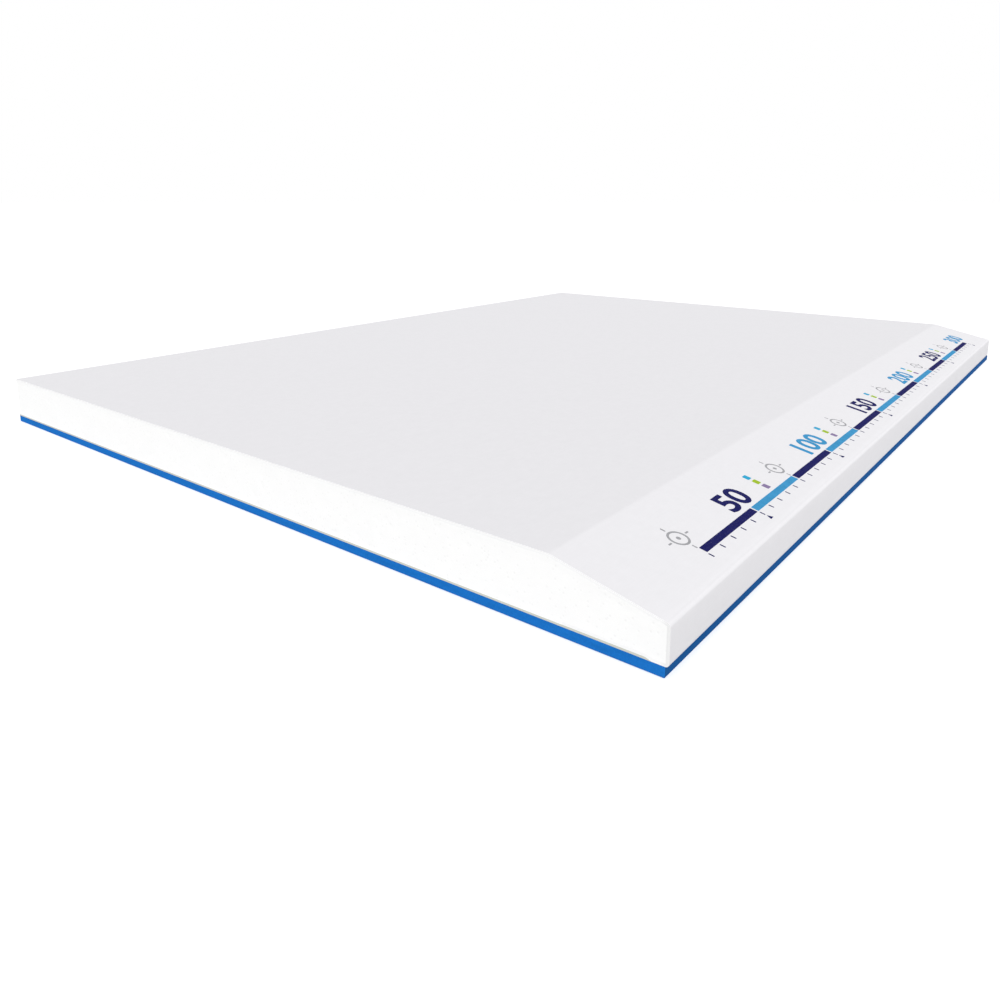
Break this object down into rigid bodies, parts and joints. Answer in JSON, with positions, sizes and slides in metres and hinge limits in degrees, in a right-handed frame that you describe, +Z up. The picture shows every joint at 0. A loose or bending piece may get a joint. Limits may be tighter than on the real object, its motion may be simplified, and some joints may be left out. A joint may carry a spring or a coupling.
{
  "type": "drywall sheet",
  "caption": "Cut piece of plasterboard with a paper-wrapped tapered long edge, a bare gypsum core on its cut edges and a blue membrane bonded to its back.",
  "frame": {"origin": "below the middle of the sheet, on the underside of the membrane", "axes": "+X across the sheet to the tapered long edge, +Y along that edge, +Z up out of the paper face"},
  "size_m": [0.24, 0.325, 0.0145],
  "materials": {
    "gypsum": "matte cut gypsum",
    "face_paper": "matte off-white board paper",
    "back_paper": "matte grey-beige board paper",
    "membrane": "matte blue filled elastomer"
  },
  "bodies": {
    "root": {"gypsum_core": "gypsum", "face_paper": "face_paper", "back_paper": "back_paper", "backing_membrane": "membrane"}
  },
  "joints": []
}
